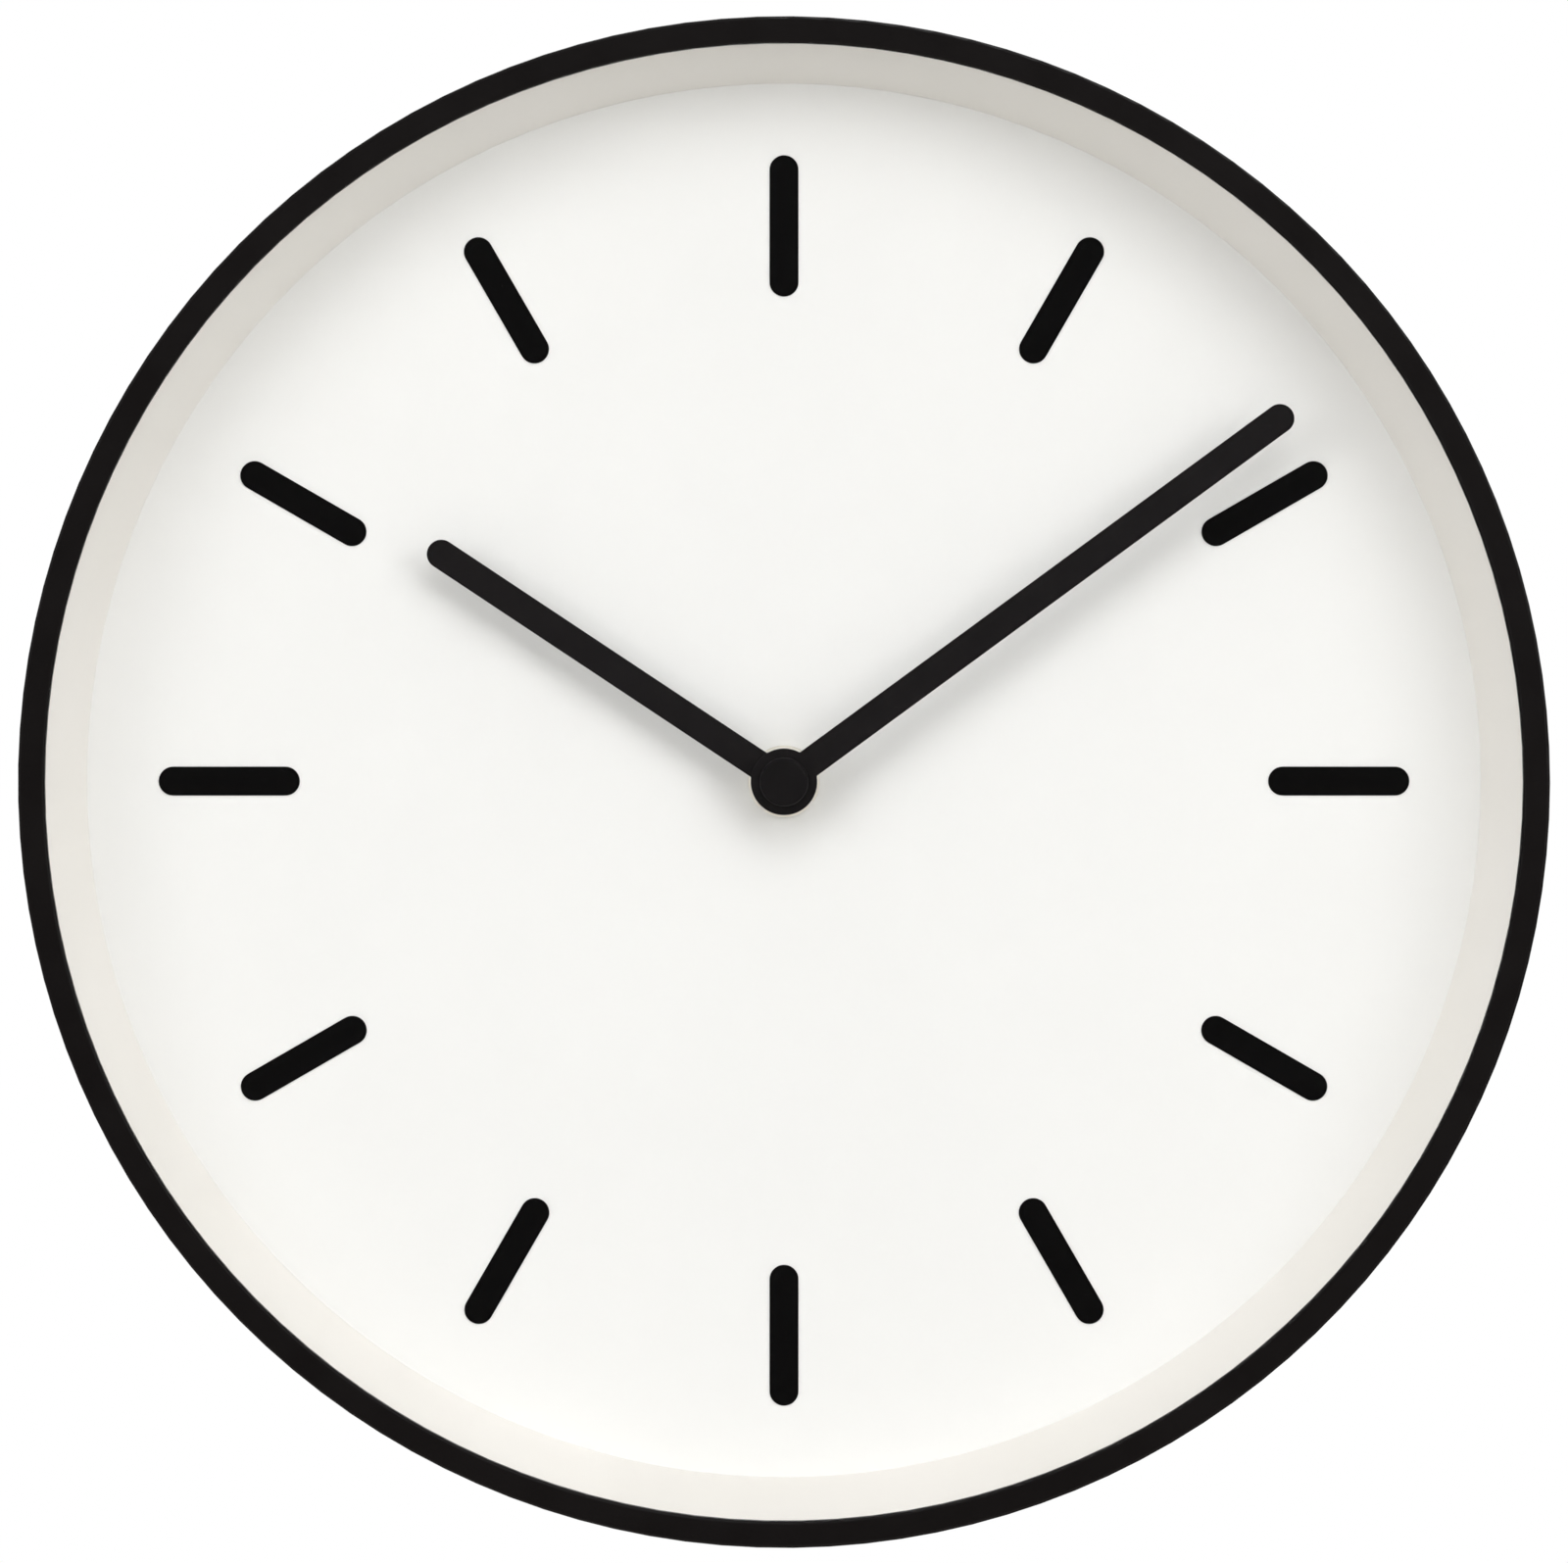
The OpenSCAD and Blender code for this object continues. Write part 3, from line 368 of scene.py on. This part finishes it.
def sintered_magnet():
    """Sintered magnet under a thin dark epoxy coat: fine pits and a dull shine."""
    made, tree, surface = new_material("coated_magnet")
    skin = add(tree, "BsdfPrincipled", {"IOR": 1.55,
        "Base Color": shaded(tree, noise(tree, 1), "#2c2f33", "#3a3d42"),
        "Roughness": between(tree, noise(tree, 0.8), 0.3, 0.45),
        "Normal": raised(tree, noise(tree, 0.12), 0.006)})
    tree.links.new(skin.outputs[0], surface)
    return made


soften(sintered_magnet(), 0.12, "rotor_magnet")


# ---- Electrics -----------------------------------------------------------------
# A scrap of fibreboard with a green solder mask carries the timing chip under its blob of black
# epoxy and a quartz crystal in a nickel-plated can, whose two leads are soldered down.

def solder_mask():
    """Green mask, IOR 1.5, glossy: copper tracks 1 mm apart show lighter and stand up a little."""
    track_gap = 1.0 * MM
    waves_per_unit = 3.18                # what the wave texture draws in one unit at scale 1
    made, tree, surface = new_material("green_solder_mask")
    place = add(tree, "Mapping", {"Vector": add(tree, "TexCoord").outputs["Object"],
        "Rotation": (0, math.radians(45), 0)})
    tracks = add(tree, "TexWave", {"Vector": place.outputs[0], "Scale": 1 / track_gap / waves_per_unit,
        "Distortion": 1.5, "Detail": 0.0}, wave_profile="SIN", bands_direction="X").outputs["Fac"]
    raised_tracks = between(tree, tracks, 0.0, 1.0, start=0.55, end=0.65)
    skin = add(tree, "BsdfPrincipled", {"IOR": 1.5,
        "Base Color": shaded(tree, raised_tracks, "#123f24", "#1f6a3c"),
        "Roughness": between(tree, noise(tree, 2), 0.22, 0.32), "Normal": raised(tree, raised_tracks, 0.03)})
    tree.links.new(skin.outputs[0], surface)
    return made


def potted_epoxy():
    """Black epoxy, IOR 1.55, poured and cured: glossy, with low swells half a millimetre across."""
    made, tree, surface = new_material("black_potting_epoxy")
    skin = add(tree, "BsdfPrincipled", {"IOR": 1.55,
        "Base Color": shaded(tree, noise(tree, 1), "#0c0c0d", "#141415"),
        "Roughness": between(tree, noise(tree, 0.7), 0.14, 0.24),
        "Normal": raised(tree, noise(tree, 0.5, 1.0), 0.02)})
    tree.links.new(skin.outputs[0], surface)
    return made


finish(solder_mask(), "circuit_board")
finish(potted_epoxy(), "timing_chip")
plated = zinc_plate("nickel_plated_steel", "#c4c6ca", "#dadcdf", 0.3, patch_mm=1.5)
soften(plated, 0.12, "quartz_crystal")


# ---- Wheel train ---------------------------------------------------------------
# The wheels and their pinions are moulded in natural acetal, and a black plate holds the two
# quickest ones. The cannon pinion, which carries the minute hand, is turned from brass.

train_abs = moulded_abs("black_abs_train_plate", "#2a2a2c", "#323234", 0.3, 0.02, rough=0.5)
soften(train_abs, 0.08, "train_plate")
acetal = moulded_resin("natural_acetal", "#e0dfd8", "#ebeae4", 0.36)
finish(acetal, "rotor_pinion", "fifth_wheel", "fourth_wheel", "third_wheel", "centre_wheel",
    "minute_wheel", "hour_wheel")
brass = turned_metal("turned_brass", "#c9a052", 0.2)
finish(brass, "cannon_pinion")


# ---- Setting knob and moulded marks ----------------------------------------------
# The knob is pressed on the minute wheel's arbor and reaches out of the housing. Beside it the
# mould has cut an arrow, and a plus and a minus sign at the ends of the battery bay.

def prisms(name, outlines, back, front, edge_mm):
    """Flat closed shapes from outlines in x and z, from depth back to front, the front edges rounded."""
    mesh = bmesh.new()
    for outline in outlines:
        rear = [mesh.verts.new((x, back, z)) for x, z in outline]
        fore = [mesh.verts.new((x, front, z)) for x, z in outline]
        mesh.faces.new(rear)
        top = mesh.faces.new(fore)
        for k in range(len(outline)):
            n = (k + 1) % len(outline)
            mesh.faces.new([rear[k], rear[n], fore[n], fore[k]])
        bmesh.ops.bevel(mesh, geom=list(top.edges), offset=edge_mm * MM, segments=2, profile=0.5,
            affect="EDGES")
    bmesh.ops.recalc_face_normals(mesh, faces=mesh.faces)
    return mesh_piece(name, mesh)


def stroke(x, z, width, height):
    return [(x + right * width / 2, z + up * height / 2)
        for right, up in ((-1, -1), (1, -1), (1, 1), (-1, 1))]


soften(moulded_resin("white_acetal_knob", "#e9e8e1", "#f1f0ea", 0.4), 0.12, "setting_knob")

knob_low, knob_high = box_of("setting_knob")
cell_low, cell_high = box_of("battery_can")
rear_face = box_of("movement_rear_housing")[1].y
knob_x = (knob_low.x + knob_high.x) / 2
knob_z = (knob_low.z + knob_high.z) / 2
arrow_gap = 2.6 * MM
arrow_r = (knob_high.x - knob_low.x) / 2 + arrow_gap
mark_w = 0.9 * MM
mark_sunk = 0.1 * MM
mark_rise = 0.25 * MM
tip_w = 3 * mark_w
tip_turn = 0.28


def on_arrow(radius, turn):
    return knob_x + radius * math.cos(turn), knob_z + radius * math.sin(turn)


# The arrow's tail sweeps a quarter turn round the knob in steps of 3 degrees, from 45 to 135.
sweep = [math.radians(45 + 3 * k) for k in range(31)]
tail = [*[on_arrow(arrow_r - mark_w / 2, turn) for turn in sweep],
    *[on_arrow(arrow_r + mark_w / 2, turn) for turn in sweep[::-1]]]
tip = [on_arrow(arrow_r - tip_w / 2, sweep[-1]), on_arrow(arrow_r, sweep[-1] + tip_turn),
    on_arrow(arrow_r + tip_w / 2, sweep[-1])]

# The plus is one bar and two short stubs, so that its pieces only meet.
sign_size = 3.0 * MM
sign_z = cell_high.z + 3.8 * MM
sign_in = 7.0 * MM
plus_x = cell_high.x - sign_in
minus_x = cell_low.x + sign_in
stub = sign_size / 2 - mark_w / 2
signs = [stroke(minus_x, sign_z, sign_size, mark_w), stroke(plus_x, sign_z, sign_size, mark_w),
    *[stroke(plus_x, sign_z + side * (stub / 2 + mark_w / 2), mark_w, stub) for side in (-1, 1)]]
marks = prisms("moulded_marks", [tail, tip, *signs], rear_face - mark_sunk, rear_face + mark_rise, 0.08)
marks.data.materials.append(housing_abs)
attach(marks, "clock_body")


# ---- Battery and its contacts ------------------------------------------------------
# One AA cell: a nickel-plated steel can, rolled in at its ends, in a plain shrink sleeve. It is
# held between a flat spring-steel contact and a conical spring wound from the same steel.

def shrink_sleeve():
    """PVC film, IOR 1.53, shrunk tight: a soft gloss, plain slate, with a pale band at the plus end."""
    made, tree, surface = new_material("slate_shrink_sleeve")
    along = add(tree, "SeparateXYZ", {0: add(tree, "TexCoord").outputs["Object"]}).outputs["X"]
    band = cell_high.x - 9 * MM
    in_band = between(tree, along, 0.0, 1.0, start=band, end=band + 0.2 * MM)
    skin = add(tree, "BsdfPrincipled", {"IOR": 1.53,
        "Base Color": shaded(tree, in_band, "#3d5563", "#c9cdd0"),
        "Roughness": between(tree, noise(tree, 5), 0.24, 0.34),
        "Normal": raised(tree, noise(tree, 3, 2.0), 0.02)})
    tree.links.new(skin.outputs[0], surface)
    return made


def wire(name, points, radius_mm, sides=16):
    """A round wire through the points, with domed ends."""
    radius = radius_mm * MM
    last = len(points) - 1
    ways = [(points[min(k + 1, last)] - points[max(k - 1, 0)]).normalized() for k in range(len(points))]
    dome = (0.7, 0.7)                    # one ring beyond the end, this far out and this wide, in radii
    side = ways[0].orthogonal().normalized()
    mesh = bmesh.new()
    rings = []
    for k, (point, way) in enumerate(zip(points, ways)):
        side = (side - way * side.dot(way)).normalized()
        other = way.cross(side)
        stops = [(0, 1)]
        if k == 0:
            stops.insert(0, (-dome[0], dome[1]))
        if k == last:
            stops.append(dome)
        for ahead, share in stops:
            turns_round = [2 * math.pi * s / sides for s in range(sides)]
            rings.append([mesh.verts.new(point + way * ahead * radius
                + share * radius * (side * math.cos(turn) + other * math.sin(turn))) for turn in turns_round])
    for one, two in zip(rings, rings[1:]):
        for s in range(sides):
            n = (s + 1) % sides
            mesh.faces.new([one[s], one[n], two[n], two[s]])
    mesh.faces.new(rings[0])
    mesh.faces.new(rings[-1])
    bmesh.ops.recalc_face_normals(mesh, faces=mesh.faces)
    return mesh_piece(name, mesh)


# The can's outline runs from the dished minus end, over both rolled rims, to the domed plus nub.
cell_length = cell_high.x - cell_low.x
nub = 1.3 * MM / cell_length
roll = 0.5 * MM / cell_length
shoulder = 1 - nub
minus_end = [(roll / 2, 0), (roll / 2, 0.6), (0, 0.66), (0, 0.86), (roll * 0.3, 0.95), (roll, 0.99)]
wall = [(2 * roll, 1), (shoulder - 2 * roll, 1)]
plus_rim = [(shoulder - roll, 0.99), (shoulder - roll * 0.3, 0.95), (shoulder, 0.88), (shoulder, 0.80)]
plus_nub = [(shoulder - roll, 0.76), (shoulder - roll, 0.44), (shoulder, 0.40), (1 - 0.3 * nub, 0.37),
    (1 - 0.08 * nub, 0.34), (1, 0.29), (1, 0)]
can = lathe("battery_can_rolled", [*minus_end, *wall, *plus_rim, *plus_nub], cell_low, cell_high, axis=0)
stand_in(can, plated, "battery_can")

sleeve_low, sleeve_high = box_of("battery_sleeve")
film_t = 0.15 * MM
film = 1 - 2 * film_t / (sleeve_high.z - sleeve_low.z)
curl = 0.4 * MM / (sleeve_high.x - sleeve_low.x)
rounding = 0.006
curled = [(0, film), (0, film + rounding), (curl * 0.4, 1 - rounding), (curl, 1)]
sleeve = lathe("battery_sleeve_shrunk", [*curled, *[(1 - along, out) for along, out in curled[::-1]]],
    sleeve_low, sleeve_high, axis=0, hollow=True)
stand_in(sleeve, shrink_sleeve(), "battery_sleeve")

spring_low, spring_high = box_of("battery_spring")
spring_wire = 0.3                        # half the wire's diameter, in millimetres
coils = 2.5
narrow = 0.65                            # the small end's radius as a share of the big end's
steps = 160
spring_r = (spring_high.z - spring_low.z) / 2 - spring_wire * MM
spring_axis = (spring_low + spring_high) / 2
spring_start = spring_low.x + spring_wire * MM
spring_run = spring_high.x - spring_low.x - 2 * spring_wire * MM
path = []
for k in range(steps + 1):
    share = k / steps
    turn = 2 * math.pi * coils * share
    radius = spring_r * (1 - (1 - narrow) * share)
    eased = share * share * (3 - 2 * share)
    path.append(Vector((spring_start + spring_run * eased, spring_axis.y + radius * math.sin(turn),
        spring_axis.z + radius * math.cos(turn))))
stand_in(wire("battery_spring_wound", path, spring_wire), plated, "battery_spring")
soften(plated, 0.06, "battery_plus_contact", "battery_minus_contact")


# ---- Hands -----------------------------------------------------------------------
# Two straight bars stamped from aluminium and sprayed matt black, each on a brass collet. A
# turned cap of the same black covers the minute hand's collet and the end of its pipe.

def matt_black_paint(name, dark, light, rough):
    """Matt paint, IOR 1.5, over aluminium: a dry fine nap with a low sheen."""
    made, tree, surface = new_material(name)
    skin = add(tree, "BsdfPrincipled", {"IOR": 1.5, "Specular IOR Level": 0.12,
        "Base Color": shaded(tree, noise(tree, 6), dark, light),
        "Roughness": between(tree, noise(tree, 3), rough, rough + 0.08),
        "Normal": raised(tree, noise(tree, 0.25, 2.0), 0.006)})
    tree.links.new(skin.outputs[0], surface)
    return made


soften(matt_black_paint("black_paint_on_hands", "#0d090a", "#100c0d", 0.5), 0.12, "hour_hand", "minute_hand")
soften(matt_black_paint("black_paint_on_cap", "#0a0708", "#0d090a", 0.4), 0.2, "hand_cap", steps=3)
soften(brass, 0.08, "hour_hand_collet", "minute_hand_collet")


# ---- Back cover ------------------------------------------------------------------
# A flat ABS disc with a thick rim that rests on the wall and a window for the movement. Six
# black-oxide screws hold it to the bosses in the case.

def black_oxide():
    """Steel blacked in a hot salt bath: dark, metallic, slightly blotchy, with a dull oily shine."""
    made, tree, surface = new_material("black_oxide_steel")
    skin = add(tree, "BsdfPrincipled", {"Metallic": 1.0,
        "Base Color": shaded(tree, noise(tree, 1.5), "#34343a", "#48484e"),
        "Roughness": between(tree, noise(tree, 1), 0.32, 0.46),
        "Normal": raised(tree, noise(tree, 0.2), 0.006)})
    tree.links.new(skin.outputs[0], surface)
    return made


soften(moulded_abs("black_abs_back_cover", "#1b1b1c", "#212122", 0.5, 0.05, rough=0.5), 0.25, "back_cover")
soften(black_oxide(), 0.1, "back_cover_screws")


# ---- Hanger ----------------------------------------------------------------------
# A steel plate, stamped with a keyhole and zinc plated, is fixed behind the cover's recess by
# four aluminium rivets, whose heads are left bright by the riveting tool.

soften(zinc_plate("bright_zinc_plate", "#a3a7ad", "#c3c6ca", 0.26), 0.12, "hanger_plate")
rivet_metal = zinc_plate("bright_aluminium_rivets", "#c9cbcd", "#dcdddf", 0.3, patch_mm=1.2)
soften(rivet_metal, 0.3, "hanger_rivets", steps=4)


# ---- Studio ----------------------------------------------------------------------
# The clock hangs before plain white above a pale floor. Three large soft lamps stand in front of
# it, the strongest above, and one behind. The room is pale overhead, behind and close round the
# viewer, and dark between, so the glass stays clear.

scene = bpy.context.scene
scene.view_settings.view_transform = "Standard"

distance = 1.643
eye_height = 0.025
looking_down = 0.886
eye = bpy.data.objects.new("camera", bpy.data.cameras.new("camera"))
eye.data.lens = 221.7
eye.data.sensor_width = 36
eye.location = (0, -distance, eye_height)
eye.rotation_euler = (math.radians(90 - looking_down), 0, 0)
scene.collection.objects.link(eye)
scene.camera = eye


def lamp(name, place, size, watts):
    """A round soft lamp that points at the middle of the clock."""
    light = bpy.data.objects.new(name, bpy.data.lights.new(name, "AREA"))
    light.data.shape = "DISK"
    light.data.size = size
    light.data.energy = watts
    light.location = place
    light.rotation_euler = (-Vector(place)).to_track_quat("-Z", "Y").to_euler()
    scene.collection.objects.link(light)


lamp("above", (0.2, -1.7, 1.25), 1.3, 11.3)
lamp("left", (-1.1, -1.4, 0.45), 1.0, 6.2)
lamp("right", (1.1, -1.4, 0.4), 1.0, 7.6)
lamp("behind", (-0.6, 1.8, 1.2), 1.4, 12)

room = bpy.data.worlds.new("room")
scene.world = room
room.use_nodes = True
tree = room.node_tree
tree.nodes.clear()
direction = add(tree, "TexCoord").outputs["Generated"]
forward = add(tree, "VectorMath", {0: direction, 1: (0, -1, 0)}, operation="DOT_PRODUCT").outputs["Value"]
outer = math.cos(math.radians(25))
inner = math.cos(math.radians(12))
in_front = between(tree, forward, 0.2, 0.02, start=outer, end=inner)
behind = between(tree, forward, 0.6, 0.0, start=-0.3, end=0.1)
height = add(tree, "SeparateXYZ", {0: direction}).outputs["Z"]
overhead = between(tree, height, 0.0, 0.7, start=0.7, end=1.0)
level = add(tree, "Math", {0: in_front, 1: behind}, operation="ADD").outputs[0]
ambient = add(tree, "Math", {0: level, 1: overhead}, operation="ADD").outputs[0]
plain = add(tree, "Background", {"Color": (1, 1, 1, 1), "Strength": 1.0})
around = add(tree, "Background", {"Color": (1, 1, 1, 1), "Strength": ambient})
both = add(tree, "MixShader", {0: add(tree, "LightPath").outputs["Is Camera Ray"], 1: around.outputs[0],
    2: plain.outputs[0]})
tree.links.new(both.outputs[0], add(tree, "OutputWorld").inputs["Surface"])

drop = 1.0
floor_r = 4
ground = bmesh.new()
bmesh.ops.create_circle(ground, cap_ends=True, segments=128, radius=floor_r)
bmesh.ops.translate(ground, verts=ground.verts, vec=(0, 0, -drop))
floor = mesh_piece("floor", ground)
floor.modifiers.clear()
paper, tree, surface = new_material("pale_studio_paper")
tree.links.new(add(tree, "BsdfPrincipled", {"Base Color": linear("#f4f1ea"), "Roughness": 0.9,
    "Normal": raised(tree, noise(tree, 1.5), 0.05)}).outputs[0], surface)
floor.data.materials.append(paper)
